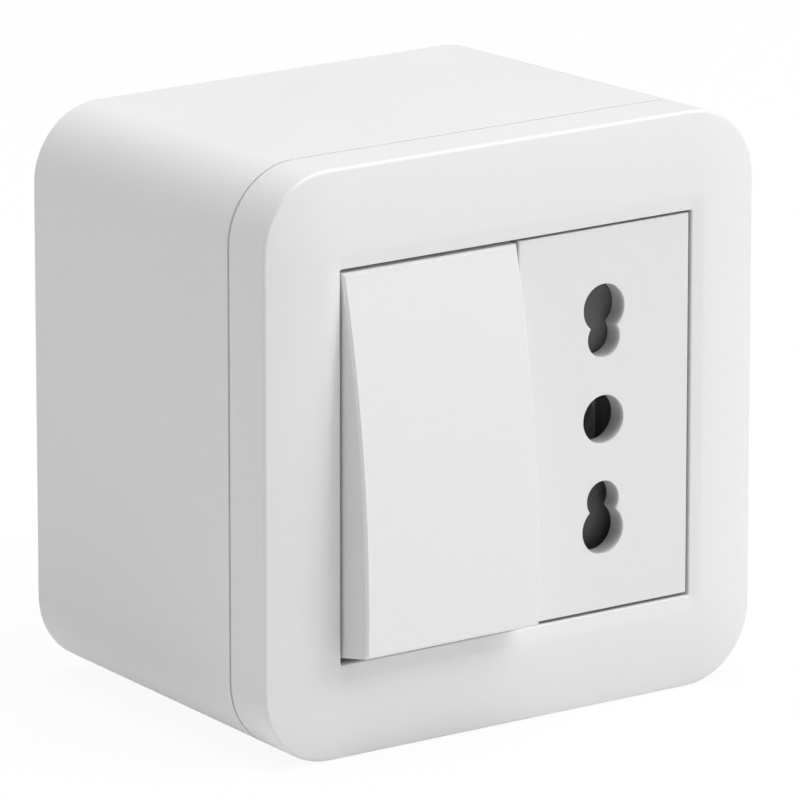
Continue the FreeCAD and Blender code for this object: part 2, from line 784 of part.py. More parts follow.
def socket_base():
    """Back half of the socket: guide holes, contact rooms, terminal pockets, spring groove."""
    body = module_body(socket_x, base_front)
    guide_back = base_front + guide_wall
    spare = clip_wall + clip_room
    room = large_jaw_half + spare
    inner = clip_sections()[0][0] - clip_room
    outer = clip_sections()[1][1] + spare
    for side in (-1, 1):
        heights = span(side, inner, outer)
        body = body.cut(keyhole(side, large_hole_radius, small_hole_radius, base_front, guide_back))
        body = body.cut(block(socket_x - room, socket_x + room, guide_back, pocket_floor, *heights))
        body = body.cut(terminal_pocket(socket_x, side * line_terminal_height))
        body = body.cut(hook_room(socket_x + arm_offset, side, base_front, base_front + arm_reach,
                                  arm_inner_z))
    body = body.cut(rod(socket_x, 0, earth_hole_radius, base_front, guide_back))
    body = body.cut(block(socket_x - room, socket_x + room, guide_back, pocket_floor, -room, room))
    body = body.cut(terminal_pocket(socket_x, 0))
    return body.cut(spring_groove())


def spring_groove():
    """Groove along X between the earth hole and the upper keyhole."""
    return block(socket_x - shutter_left - mechanism_clearance, socket_x + shutter_right + shutter_travel,
                 base_front, base_front + 2 * spring_groove_half,
                 spring_line - spring_groove_half, spring_line + spring_groove_half)


def clip_tail(side, web):
    """Strip from a clip's web to its terminal plate."""
    return block(socket_x - strip_width / 2, socket_x + strip_width / 2, clip_start, pocket_floor,
                 *span(side, web, web + clip_wall))


def keyed_clip(side):
    """Clip with stepped jaws for both pin sizes, open towards the middle, with a tail to its terminal."""
    depth1 = clip_start + clip_length
    mouth = clip_sections()[0][0]
    web = clip_sections()[1][1]
    jaws = []
    gaps = []
    for inner, outer, half in clip_sections():
        wide = half + clip_wall
        heights = span(side, max(mouth, inner - clip_wall), outer + clip_wall)
        jaws.append(block(socket_x - wide, socket_x + wide, clip_start, depth1, *heights))
        gaps.append(block(socket_x - half, socket_x + half, clip_start, depth1, *span(side, inner, outer)))
    clip = joined(jaws).cut(joined(gaps))
    return joined([clip, clip_tail(side, web), terminal_plate(socket_x, side * line_terminal_height)])


def earth_contact():
    """Clip with two straight jaws for the middle pin, with a tail to its terminal."""
    depth1 = clip_start + clip_length
    half = large_jaw_half
    wide = half + clip_wall
    jaws = block(socket_x - wide, socket_x + wide, clip_start, depth1, -half, wide)
    gap = block(socket_x - half, socket_x + half, clip_start, depth1, -half, half)
    return joined([jaws.cut(gap), clip_tail(1, half), terminal_plate(socket_x, 0)])


def shutter_blade(side, gap):
    """Blade behind one keyhole, its front rounded off into a ramp that a pin pushes aside."""
    left = -shutter_left
    right = shutter_right
    front = face_back + gap
    back = base_front - shutter_running_gap
    run = 2 * large_hole_radius
    ramp_radius = (run ** 2 + ramp_drop ** 2) / (2 * ramp_drop)
    mid_run = run / 2
    mid_drop = ramp_radius - math.sqrt(ramp_radius ** 2 - mid_run ** 2)
    z0 = min(side * shutter_inner_end, side * shutter_end)
    start = Vector(socket_x + left + run, y_of(front), z0)
    middle = Vector(socket_x + left + run - mid_run, y_of(front + mid_drop), z0)
    end = Vector(socket_x + left, y_of(front + ramp_drop), z0)
    corner_points = [end, Vector(socket_x + left, y_of(back), z0), Vector(socket_x + right, y_of(back), z0),
                     Vector(socket_x + right, y_of(front), z0), start]
    edges = [Part.Arc(start, middle, end).toShape()]
    edges += [Part.LineSegment(a, b).toShape() for a, b in zip(corner_points, corner_points[1:])]
    return Part.Face(Part.Wire(edges)).extrude(Vector(0, 0, shutter_end - shutter_inner_end))


def shutter():
    """Sliding safety shutter: a blade behind each keyhole, a bar past the earth hole, a spring lug."""
    bar_front = face_back + lower_blade_gap
    back = base_front - shutter_running_gap
    left = socket_x - shutter_left
    right = socket_x + shutter_right
    bar = block(right - shutter_bar, right, bar_front, back, -shutter_end, shutter_end)
    margin = mechanism_clearance / 2
    low = spring_line - spring_groove_half + margin
    high = spring_line + spring_groove_half - margin
    lug_front = back - lug_width / 2
    lug_back = base_front + 2 * spring_groove_half - margin
    neck = block(left, left + lug_width, lug_front, back, low, shutter_inner_end + lug_width)
    lug = block(left, left + lug_width, lug_front, lug_back, low, high)
    return joined([shutter_blade(1, upper_blade_gap), shutter_blade(-1, lower_blade_gap), bar, neck, lug])


def shutter_spring():
    """Spring that pushes the shutter back over the holes."""
    start = socket_x - shutter_left + lug_width + spring_seat_gap
    end = socket_x + shutter_right + shutter_travel - spring_seat_gap
    return coil(shutter_spring_radius, shutter_spring_wire, shutter_spring_turns, end - start,
                Vector(start, y_of(base_front + spring_groove_half), spring_line), Vector(1, 0, 0))


def terminals(x, heights, make):
    """One group of like terminal pieces for a module."""
    return Part.makeCompound([make(x, z) for z in heights])


def main():
    switch_heights = [terminal_height(), -terminal_height()]
    socket_heights = [line_terminal_height, 0.0, -line_terminal_height]
    nodes = {
        "surface_box": surface_box(),
        "cover_frame": cover_frame(),
        "support_frame": support_frame(),
        "support_screws": support_screws(),
        "rocker": rocker(),
        "plunger": plunger(),
        "plunger_spring": plunger_spring(),
        "switch_plate": switch_plate(),
        "switch_base": switch_base(),
        "common_contact": common_contact(),
        "fixed_contact": fixed_contact(),
        "fixed_contact_tip": fixed_contact_tip(),
        "contact_blade": contact_blade(),
        "moving_contact_tip": moving_contact_tip(),
        "switch_clamp_plates": terminals(switch_x, switch_heights, clamp_plate),
        "switch_terminal_screws": terminals(switch_x, switch_heights, terminal_screw),
        "socket_face": socket_face(),
        "socket_base": socket_base(),
        "shutter": shutter(),
        "shutter_spring": shutter_spring(),
        "line_contact": keyed_clip(1),
        "neutral_contact": keyed_clip(-1),
        "earth_contact": earth_contact(),
        "socket_clamp_plates": terminals(socket_x, socket_heights, clamp_plate),
        "socket_terminal_screws": terminals(socket_x, socket_heights, terminal_screw),
    }
    os.makedirs("parts", exist_ok=True)
    for name, shape in nodes.items():
        shape.exportStep("parts/" + name + ".step")


main()
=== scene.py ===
"""Looks of a surface-mounted switch and socket combination: white case, rocker, socket and inner works."""

import math

import bmesh
import bpy
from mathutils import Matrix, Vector


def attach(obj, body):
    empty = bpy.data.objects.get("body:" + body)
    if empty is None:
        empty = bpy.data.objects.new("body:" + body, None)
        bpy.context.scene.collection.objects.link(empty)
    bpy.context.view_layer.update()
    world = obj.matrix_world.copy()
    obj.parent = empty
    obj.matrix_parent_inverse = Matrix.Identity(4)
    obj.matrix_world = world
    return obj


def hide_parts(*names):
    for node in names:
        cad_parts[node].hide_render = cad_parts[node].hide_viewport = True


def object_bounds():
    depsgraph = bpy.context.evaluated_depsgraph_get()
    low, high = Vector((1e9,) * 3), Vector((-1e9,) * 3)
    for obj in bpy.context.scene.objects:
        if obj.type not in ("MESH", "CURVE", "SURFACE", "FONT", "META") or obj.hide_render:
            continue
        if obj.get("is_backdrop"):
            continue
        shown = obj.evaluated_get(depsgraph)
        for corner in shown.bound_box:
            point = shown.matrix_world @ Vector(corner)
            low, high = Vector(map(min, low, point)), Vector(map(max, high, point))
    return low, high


bl_info = {
    "name": "Switch and socket combination",
    "version": (1, 0, 0),
    "blender": (4, 5, 0),
    "location": "3D View > Sidebar > Switch and socket",
    "description": "Builds the cover, dresses the box, rocker, socket and inner works, and sets the studio",
    "category": "Object",
}

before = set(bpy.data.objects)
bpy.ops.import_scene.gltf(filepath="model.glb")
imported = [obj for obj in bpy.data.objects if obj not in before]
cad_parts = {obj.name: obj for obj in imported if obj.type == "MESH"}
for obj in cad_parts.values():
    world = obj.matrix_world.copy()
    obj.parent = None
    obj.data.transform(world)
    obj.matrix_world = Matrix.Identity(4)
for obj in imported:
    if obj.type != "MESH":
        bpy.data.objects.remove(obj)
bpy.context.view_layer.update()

MM = 0.001

# How CAD meshes are merged and rounded: distances in metres, angles in degrees
MERGE_DISTANCE = 0.002 * MM
FLAT_ANGLE = 0.4
SHARP_ANGLE = 33.0
SMOOTH_ANGLE = 30.0
COVER_SMOOTH_ANGLE = 35.0
FLAT_WEIGHT = 80
EDGE_ROUNDING = 0.12 * MM
MOUTH_ROUNDING = 0.1 * MM
ROUNDING_STEPS = 3

# Steps of the cover's rings: round its corners, over its lip, across its crown and round its edge
CORNER_STEPS = 12
LIP_STEPS = 4
CROWN_BANDS = 14
EDGE_STEPS = 6

# Depth of the fine relief in the plastic and metal finishes, and its strength in metal
RELIEF = 0.02 * MM
METAL_BUMP = 0.2

# Studio values that stay as they are
LAMP_TARGET = (0.0, -0.03, 0.0)
FLOOR_REACH = 6.0
SENSOR_WIDTH = 36.0
NEAR_CLIP = 0.05
FAR_CLIP = 50.0


# Settings


class CoverSizes(bpy.types.PropertyGroup):
    """Sizes of the crowned cover frame."""

    window_width: bpy.props.FloatProperty(
        name="Window width", description="Width of the opening for both modules", default=0.049, min=0.02,
        max=0.1, unit="LENGTH")
    window_height: bpy.props.FloatProperty(
        name="Window height", description="Height of the opening for both modules", default=0.0456,
        min=0.02, max=0.1, unit="LENGTH")
    border_side: bpy.props.FloatProperty(
        name="Side border", description="Width of the frame left and right of the window", default=0.0096,
        min=0.002, max=0.03, unit="LENGTH")
    border_end: bpy.props.FloatProperty(
        name="End border", description="Width of the frame above and below the window", default=0.0113,
        min=0.002, max=0.03, unit="LENGTH")
    corner_radius: bpy.props.FloatProperty(
        name="Corner radius", description="Radius of the case's corners seen from the front",
        default=0.0088, min=0.001, max=0.02, unit="LENGTH")
    crown_drop: bpy.props.FloatProperty(
        name="Crown drop", description="How far the front falls from its crest to its outer edge",
        default=0.00135, min=0.0, max=0.005, unit="LENGTH")
    crest_rise: bpy.props.FloatProperty(
        name="Crest rise", description="Height of the crest over the window's edge", default=0.00025,
        min=0.0, max=0.002, unit="LENGTH")
    crest_share: bpy.props.FloatProperty(
        name="Crest share", description="How far across the border the crest lies", default=0.16,
        min=0.05, max=0.5, subtype="FACTOR")
    crown_start: bpy.props.FloatProperty(
        name="Crown start",
        description="Share of the drop that falls evenly; the rest falls faster outwards", default=0.35,
        min=0, max=1, subtype="FACTOR")
    crown_end_slope: bpy.props.FloatProperty(
        name="Crown end slope", description="Slope of the front where the edge rounding starts",
        default=math.radians(11), min=0, max=1, subtype="ANGLE")
    window_corner: bpy.props.FloatProperty(
        name="Window corner", description="Radius of the window's corners", default=0.00025, min=0.00005,
        max=0.002, unit="LENGTH")
    lip_radius: bpy.props.FloatProperty(
        name="Lip radius", description="Rounding of the window's lip and of the rim", default=0.00012,
        min=0.00005, max=0.001, unit="LENGTH")
    edge_radius: bpy.props.FloatProperty(
        name="Edge radius", description="Rounding between the front and the sides", default=0.0005,
        min=0.0001, max=0.002, unit="LENGTH")
    case_depth: bpy.props.FloatProperty(
        name="Case depth", description="Depth from the front plane to the wall", default=0.0486, min=0.02,
        max=0.1, unit="LENGTH")
    draft_side: bpy.props.FloatProperty(
        name="Side draft", description="How far each side draws in towards the wall", default=0.00088,
        min=0.0, max=0.005, unit="LENGTH")
    draft_end: bpy.props.FloatProperty(
        name="End draft", description="How far the top and bottom draw in towards the wall",
        default=0.00086, min=0.0, max=0.005, unit="LENGTH")
    wall: bpy.props.FloatProperty(
        name="Wall", description="Wall thickness of the case", default=0.002, min=0.001, max=0.005,
        unit="LENGTH")
    ceiling: bpy.props.FloatProperty(
        name="Ceiling", description="Depth of the inner face behind the front", default=0.00235,
        min=0.001, max=0.01, unit="LENGTH")
    rim_depth: bpy.props.FloatProperty(
        name="Rim depth", description="Depth of the cover's rim at the seam", default=0.00797, min=0.002,
        max=0.02, unit="LENGTH")
    seat_depth: bpy.props.FloatProperty(
        name="Seat depth", description="Depth of the support frame's front face", default=0.0068,
        min=0.002, max=0.02, unit="LENGTH")
    collar: bpy.props.FloatProperty(
        name="Collar", description="Wall thickness of the collar round the window", default=0.0012,
        min=0.0005, max=0.003, unit="LENGTH")
    tongue_length: bpy.props.FloatProperty(
        name="Tongue length", description="How far the tongue stands out of the rim", default=0.0018,
        min=0.0005, max=0.005, unit="LENGTH")
    tongue_clearance: bpy.props.FloatProperty(
        name="Tongue clearance", description="Gap between the tongue and the box", default=0.0001,
        min=0.0, max=0.001, unit="LENGTH")


class HookSizes(bpy.types.PropertyGroup):
    """Sizes of the cover's snap hooks."""

    place: bpy.props.FloatProperty(
        name="Place", description="Distance of each hook from the middle", default=0.014, min=0.0,
        max=0.03, unit="LENGTH")
    width: bpy.props.FloatProperty(
        name="Width", description="Width of a hook", default=0.004, min=0.001, max=0.01, unit="LENGTH")
    thickness: bpy.props.FloatProperty(
        name="Thickness", description="Thickness of a hook's arm", default=0.0014, min=0.0005, max=0.003,
        unit="LENGTH")
    barb: bpy.props.FloatProperty(
        name="Barb", description="How far the barb stands out of the arm", default=0.0005, min=0.0001,
        max=0.002, unit="LENGTH")
    nose: bpy.props.FloatProperty(
        name="Nose", description="Length of the slanted nose behind the barb", default=0.0015, min=0.0005,
        max=0.005, unit="LENGTH")
    reach: bpy.props.FloatProperty(
        name="Reach", description="Depth of the barb behind the support frame's front face",
        default=0.00215, min=0.001, max=0.01, unit="LENGTH")
    room: bpy.props.FloatProperty(
        name="Room", description="Room between a hook and the case's wall", default=0.0003, min=0.0,
        max=0.002, unit="LENGTH")
    root: bpy.props.FloatProperty(
        name="Root", description="How deep a hook is rooted in the cover", default=0.0001, min=0.0,
        max=0.001, unit="LENGTH")


class Finishes(bpy.types.PropertyGroup):
    """Colours and surface values of the finishes, with the painted shade down the socket's pin holes."""

    white: bpy.props.FloatVectorProperty(
        name="White plastic", description="Colour of the case and the rocker",
        default=(0.86, 0.86, 0.857), size=3, min=0, max=1, subtype="COLOR")
    grey: bpy.props.FloatVectorProperty(
        name="Grey plastic", description="Colour of the hidden mouldings", default=(0.42, 0.43, 0.44),
        size=3, min=0, max=1, subtype="COLOR")
    shutter: bpy.props.FloatVectorProperty(
        name="Shutter", description="Colour of the safety shutter", default=(0.12, 0.12, 0.122), size=3,
        min=0, max=1, subtype="COLOR")
    socket: bpy.props.FloatVectorProperty(
        name="Socket face", description="Colour of the socket's face", default=(0.825, 0.825, 0.822),
        size=3, min=0, max=1, subtype="COLOR")
    # Painted shade: the next three values darken the socket's colour down the pin holes, from one depth to
    # another, in place of the shade that falls there
    painted_hole_shade: bpy.props.FloatProperty(
        name="Hole shade", description="How much of the socket's colour is left down the pin holes",
        default=0.68, min=0, max=1, subtype="FACTOR")
    painted_shade_start: bpy.props.FloatProperty(
        name="Shade start", description="Depth behind the front plane where the holes start to darken",
        default=0.0003, min=0.0, max=0.005, unit="LENGTH")
    painted_shade_end: bpy.props.FloatProperty(
        name="Shade end", description="Depth behind the front plane where the holes are darkest",
        default=0.0009, min=0.0, max=0.005, unit="LENGTH")
    brass: bpy.props.FloatVectorProperty(
        name="Brass", description="Colour of the switch's strips", default=(0.72, 0.53, 0.26), size=3,
        min=0, max=1, subtype="COLOR")
    steel: bpy.props.FloatVectorProperty(
        name="Steel", description="Colour of screws and clamp plates", default=(0.62, 0.62, 0.63), size=3,
        min=0, max=1, subtype="COLOR")
    satin: bpy.props.FloatProperty(
        name="Satin roughness", description="Roughness of the white plastic", default=0.42, min=0, max=1,
        subtype="FACTOR")
    grain: bpy.props.FloatProperty(
        name="Grain", description="Strength of the fine spark-eroded grain", default=0.12, min=0, max=1,
        subtype="FACTOR")


class StudioValues(bpy.types.PropertyGroup):
    """Camera and light values."""

    camera_place: bpy.props.FloatVectorProperty(
        name="Camera place", description="Where the camera stands", size=3, subtype="TRANSLATION",
        unit="LENGTH", default=(-0.5667, -0.81595, 0.2567))
    camera_target: bpy.props.FloatVectorProperty(
        name="Camera target", description="What the camera points at", size=3, subtype="TRANSLATION",
        unit="LENGTH", default=(-0.016107, -0.04825, 0.006594))
    lens: bpy.props.FloatProperty(
        name="Lens", description="Focal length on a 36 mm sensor", default=394.29, min=20, max=800)
    surround: bpy.props.FloatProperty(
        name="Surround light", description="Strength of the even light from all round", default=0.062,
        min=0, max=3)
    key_power: bpy.props.FloatProperty(
        name="Key power", description="Power of the large lamp above right", default=8.35, min=0, max=100,
        unit="POWER")
    key_place: bpy.props.FloatVectorProperty(
        name="Key place", description="Where the large lamp stands", size=3, subtype="TRANSLATION",
        unit="LENGTH", default=(0.87, -0.82, 0.78))
    key_size: bpy.props.FloatProperty(
        name="Key size", description="Side of the large lamp", default=0.9, min=0.05, max=5,
        unit="LENGTH")
    top_power: bpy.props.FloatProperty(
        name="Top power", description="Power of the lamp overhead", default=10.3, min=0, max=100,
        unit="POWER")
    top_place: bpy.props.FloatVectorProperty(
        name="Top place", description="Where the lamp overhead hangs", size=3, subtype="TRANSLATION",
        unit="LENGTH", default=(0.0, 0.15, 1.2))
    top_size: bpy.props.FloatProperty(
        name="Top size", description="Side of the lamp overhead", default=1.0, min=0.05, max=5,
        unit="LENGTH")
    front_power: bpy.props.FloatProperty(
        name="Front power", description="Power of the lamp high in front", default=6.5, min=0, max=100,
        unit="POWER")
    front_place: bpy.props.FloatVectorProperty(
        name="Front place", description="Where the lamp high in front hangs", size=3,
        subtype="TRANSLATION", unit="LENGTH", default=(0.2, -0.6, 1.1))
    front_size: bpy.props.FloatProperty(
        name="Front size", description="Side of the lamp high in front", default=1.0, min=0.05, max=5,
        unit="LENGTH")
    side_power: bpy.props.FloatProperty(
        name="Side power", description="Power of the lamp behind on the left", default=1.9, min=0,
        max=100, unit="POWER")
    side_place: bpy.props.FloatVectorProperty(
        name="Side place", description="Where the lamp behind on the left stands", size=3,
        subtype="TRANSLATION", unit="LENGTH", default=(-1.0, 0.8, 0.3))
    side_size: bpy.props.FloatProperty(
        name="Side size", description="Side of the lamp behind on the left", default=0.6, min=0.05, max=5,
        unit="LENGTH")
    floor_gap: bpy.props.FloatProperty(
        name="Floor gap", description="Distance from the part down to the floor", default=0.0001, min=0,
        max=0.5, unit="LENGTH")
    floor_tone: bpy.props.FloatProperty(
        name="Floor tone", description="Grey value of the floor", default=0.9, min=0, max=1,
        subtype="FACTOR")
    floor_lift: bpy.props.FloatProperty(
        name="Floor lift", description="Share of plain white that the eye sees in the floor",
        default=0.93, min=0, max=1, subtype="FACTOR")


# Shader groups


# Where a mix node keeps its factor, its two colours and the mixed colour
MIX_INPUTS = (0, 6, 7)
MIX_OUTPUT = 2


def make_group(name, inputs, outputs):
    """New shader node group with named sockets."""
    group = bpy.data.node_groups.new(name, "ShaderNodeTree")
    for label, kind, value in inputs:
        socket = group.interface.new_socket(label, in_out="INPUT", socket_type=kind)
        socket.default_value = value
    for label, kind in outputs:
        group.interface.new_socket(label, in_out="OUTPUT", socket_type=kind)
    start = group.nodes.new("NodeGroupInput")
    end = group.nodes.new("NodeGroupOutput")
    return group, start, end


def feed(tree, value, socket):
    """Joins a socket to another one, or gives it a number or a colour."""
    if hasattr(value, "is_linked"):
        tree.links.new(value, socket)
    elif isinstance(value, tuple):
        socket.default_value = (*value, 1)
    else:
        socket.default_value = value


def add_noise(tree, scale, detail, roughness=0.5):
    """Noise texture in object space."""
    noise = tree.nodes.new("ShaderNodeTexNoise")
    noise.inputs["Detail"].default_value = detail
    noise.inputs["Roughness"].default_value = roughness
    feed(tree, scale, noise.inputs["Scale"])
    return noise


def add_math(tree, operation, first, second, clamp=False):
    """Math node whose inputs are numbers or sockets."""
    node = tree.nodes.new("ShaderNodeMath")
    node.operation = operation
    node.use_clamp = clamp
    for socket, value in zip(node.inputs, (first, second)):
        feed(tree, value, socket)
    return node.outputs[0]


def add_mix(tree, factor, first, second, kind="MIX"):
    """Colour mix node whose inputs are values or sockets."""
    node = tree.nodes.new("ShaderNodeMix")
    node.data_type = "RGBA"
    node.blend_type = kind
    for place, value in zip(MIX_INPUTS, (factor, first, second)):
        feed(tree, value, node.inputs[place])
    return node.outputs[MIX_OUTPUT]


def moulded_group():
    """Moulded plastic: faint flow mottle, spark-eroded grain, and slightly uneven gloss."""
    group, start, end = make_group(
        "Moulded plastic",
        [("Colour", "NodeSocketColor", (0.8, 0.8, 0.8, 1)), ("Gloss roughness", "NodeSocketFloat", 0.4),
         ("Grain size", "NodeSocketFloat", 2600.0), ("Mottle", "NodeSocketFloat", 0.02)],
        [("Colour", "NodeSocketColor"), ("Roughness", "NodeSocketFloat"), ("Height", "NodeSocketFloat")])
    shaded_tone = (0.93, 0.93, 0.925)
    mottle_gain = 10.0
    gloss_swing = 0.12
    dimple_share = 0.5
    place = group.nodes.new("ShaderNodeTexCoord")
    flow = add_noise(group, scale=38.0, detail=3.0)
    grain = add_noise(group, start.outputs["Grain size"], detail=2.0, roughness=0.55)
    dimple = group.nodes.new("ShaderNodeTexVoronoi")
    group.links.new(start.outputs["Grain size"], dimple.inputs["Scale"])
    for node in (flow, grain, dimple):
        group.links.new(place.outputs["Object"], node.inputs["Vector"])
    darker = add_mix(group, 1.0, start.outputs["Colour"], shaded_tone, "MULTIPLY")
    share = add_math(group, "MULTIPLY", flow.outputs["Fac"], add_math(
        group, "MULTIPLY", start.outputs["Mottle"], mottle_gain), clamp=True)
    group.links.new(add_mix(group, share, start.outputs["Colour"], darker), end.inputs["Colour"])
    swing = add_math(group, "MULTIPLY", add_math(group, "SUBTRACT", flow.outputs["Fac"], 0.5), gloss_swing)
    group.links.new(add_math(group, "ADD", start.outputs["Gloss roughness"], swing, clamp=True),
                    end.inputs["Roughness"])
    height = add_math(group, "ADD", grain.outputs["Fac"], add_math(
        group, "MULTIPLY", dimple.outputs["Distance"], dimple_share))
    group.links.new(height, end.inputs["Height"])
    return group


def stamped_group():
    """Stamped or drawn metal: fine brushed lines, tarnish blotches and uneven gloss."""
    group, start, end = make_group(
        "Stamped metal",
        [("Colour", "NodeSocketColor", (0.7, 0.7, 0.7, 1)), ("Gloss roughness", "NodeSocketFloat", 0.3),
         ("Tarnish", "NodeSocketFloat", 0.15), ("Line size", "NodeSocketFloat", 900.0)],
        [("Colour", "NodeSocketColor"), ("Roughness", "NodeSocketFloat"), ("Height", "NodeSocketFloat")])
    drawn_out = (1.0, 1.0, 0.06)
    dull_tone = (0.5, 0.47, 0.44)
    dulling = 0.15
    place = group.nodes.new("ShaderNodeTexCoord")
    stretch = group.nodes.new("ShaderNodeMapping")
    stretch.inputs["Scale"].default_value = drawn_out
    group.links.new(place.outputs["Object"], stretch.inputs["Vector"])
    lines = add_noise(group, start.outputs["Line size"], detail=2.0)
    group.links.new(stretch.outputs["Vector"], lines.inputs["Vector"])
    blotch = add_noise(group, scale=240.0, detail=4.0)
    group.links.new(place.outputs["Object"], blotch.inputs["Vector"])
    dull = add_mix(group, 1.0, start.outputs["Colour"], dull_tone, "MULTIPLY")
    share = add_math(group, "MULTIPLY", blotch.outputs["Fac"], start.outputs["Tarnish"])
    group.links.new(add_mix(group, share, start.outputs["Colour"], dull), end.inputs["Colour"])
    rough = add_math(group, "ADD", start.outputs["Gloss roughness"], add_math(
        group, "MULTIPLY", blotch.outputs["Fac"], dulling), clamp=True)
    group.links.new(rough, end.inputs["Roughness"])
    group.links.new(lines.outputs["Fac"], end.inputs["Height"])
    return group


GROUPS = {}


def effect(name):
    """A shared shader group, built the first time it is asked for."""
    if name not in GROUPS:
        GROUPS[name] = {"moulded": moulded_group, "stamped": stamped_group}[name]()
    return GROUPS[name]


def new_material(name, colour):
    """Material with a Principled shader and a viewport colour."""
    material = bpy.data.materials.new(name)
    material.use_nodes = True
    material.diffuse_color = (*colour, 1)
    return material, material.node_tree, material.node_tree.nodes["Principled BSDF"]


def place_group(tree, shader, kind, values, bump):
    """Places a shared group in a material and joins it to the shader."""
    node = tree.nodes.new("ShaderNodeGroup")
    node.node_tree = effect(kind)
    for label, value in values.items():
        node.inputs[label].default_value = value
    tree.links.new(node.outputs["Colour"], shader.inputs["Base Color"])
    tree.links.new(node.outputs["Roughness"], shader.inputs["Roughness"])
    relief = tree.nodes.new("ShaderNodeBump")
    relief.inputs["Strength"].default_value = bump
    relief.inputs["Distance"].default_value = RELIEF
    tree.links.new(node.outputs["Height"], relief.inputs["Height"])
    tree.links.new(relief.outputs["Normal"], shader.inputs["Normal"])


def plastic(name, colour, roughness, grain, mottle, grain_size):
    """Moulded plastic material."""
    if name in bpy.data.materials:
        return bpy.data.materials[name]
    material, tree, shader = new_material(name, colour)
    place_group(tree, shader, "moulded", {
        "Colour": (*colour, 1), "Gloss roughness": roughness, "Grain size": grain_size, "Mottle": mottle},
        grain)
    shader.inputs["IOR"].default_value = 1.5
    return material


def metal(name, colour, roughness, tarnish, line_size):
    """Stamped or drawn metal material."""
    if name in bpy.data.materials:
        return bpy.data.materials[name]
    material, tree, shader = new_material(name, colour)
    place_group(tree, shader, "stamped", {
        "Colour": (*colour, 1), "Gloss roughness": roughness, "Tarnish": tarnish, "Line size": line_size},
        METAL_BUMP)
    shader.inputs["Metallic"].default_value = 1.0
    return material


def white_plastic():
    """Satin white of the case, the rocker and the switch's front half."""
    finish = bpy.context.scene.combo_finishes
    return plastic("satin_white_plastic", tuple(finish.white), finish.satin, finish.grain, mottle=0.02,
                   grain_size=2600.0)


def socket_plastic():
    """Satin white of the socket's face, with painted shade that greys it down the pin holes."""
    name = "socket_white_plastic"
    if name in bpy.data.materials:
        return bpy.data.materials[name]
    finish = bpy.context.scene.combo_finishes
    material = plastic(name, tuple(finish.socket), finish.satin, finish.grain, mottle=0.02,
                       grain_size=2600.0)
    tree = material.node_tree
    shader = tree.nodes["Principled BSDF"]
    moulded = shader.inputs["Base Color"].links[0].from_socket
    # Painted shade: a mask on depth behind the front plane multiplies the colour darker down the pin holes,
    # where shade falls
    place = tree.nodes.new("ShaderNodeTexCoord")
    split = tree.nodes.new("ShaderNodeSeparateXYZ")
    tree.links.new(place.outputs["Object"], split.inputs[0])
    front = -bpy.context.scene.combo_cover.case_depth
    painted_shade_depth = tree.nodes.new("ShaderNodeMapRange")
    painted_shade_depth.inputs["From Min"].default_value = front + finish.painted_shade_start
    painted_shade_depth.inputs["From Max"].default_value = front + finish.painted_shade_end
    tree.links.new(split.outputs["Y"], painted_shade_depth.inputs["Value"])
    shade = finish.painted_hole_shade
    dim = add_mix(tree, 1.0, moulded, (shade, shade, shade), "MULTIPLY")
    tree.links.new(add_mix(tree, painted_shade_depth.outputs["Result"], moulded, dim), shader.inputs["Base Color"])
    return material


def grey_plastic():
    """Matte grey of the hidden mouldings."""
    finish = bpy.context.scene.combo_finishes
    return plastic("matte_grey_plastic", tuple(finish.grey), roughness=0.6, grain=0.3, mottle=0.05,
                   grain_size=1500.0)


def shutter_plastic():
    """Smooth dark grey of the shutter."""
    finish = bpy.context.scene.combo_finishes
    return plastic("shutter_grey_plastic", tuple(finish.shutter), roughness=0.45, grain=0.1, mottle=0.03,
                   grain_size=2200.0)


def slider_plastic():
    """Slippery ivory plastic of the plunger."""
    ivory = (0.72, 0.68, 0.56)
    return plastic("ivory_slider_plastic", ivory, roughness=0.35, grain=0.1, mottle=0.04, grain_size=2200.0)


def strip_brass():
    """Brass of the switch's strips."""
    brass = tuple(bpy.context.scene.combo_finishes.brass)
    return metal("stamped_brass", brass, roughness=0.3, tarnish=0.25, line_size=900.0)


def clip_bronze():
    """Redder spring bronze of the clips and the blade."""
    bronze = (0.7, 0.42, 0.24)
    return metal("spring_bronze", bronze, roughness=0.28, tarnish=0.3, line_size=1100.0)


def contact_silver():
    """Bright silver of the contact tips."""
    silver = (0.82, 0.81, 0.78)
    return metal("contact_silver", silver, roughness=0.18, tarnish=0.1, line_size=1600.0)


def zinc_steel():
    """Zinc-plated steel of screws and clamp plates."""
    steel = tuple(bpy.context.scene.combo_finishes.steel)
    return metal("zinc_plated_steel", steel, roughness=0.32, tarnish=0.2, line_size=1300.0)


def spring_steel():
    """Drawn steel of the springs."""
    wire = (0.55, 0.55, 0.56)
    return metal("drawn_spring_steel", wire, roughness=0.25, tarnish=0.15, line_size=1800.0)


# Mesh work


def add_object(name, mesh, material):
    """New object in the scene with one material."""
    thing = bpy.data.objects.new(name, mesh)
    mesh.materials.append(material)
    bpy.context.scene.collection.objects.link(thing)
    return thing


def soften(thing, angle):
    """Smooth shading that keeps true edges sharp and large faces flat."""
    mesh = thing.data
    mesh.polygons.foreach_set("use_smooth", [True] * len(mesh.polygons))
    mesh.set_sharp_from_angle(angle=math.radians(angle))
    flat = thing.modifiers.new("flat faces", "WEIGHTED_NORMAL")
    flat.mode = "FACE_AREA"
    flat.weight = FLAT_WEIGHT
    flat.keep_sharp = True


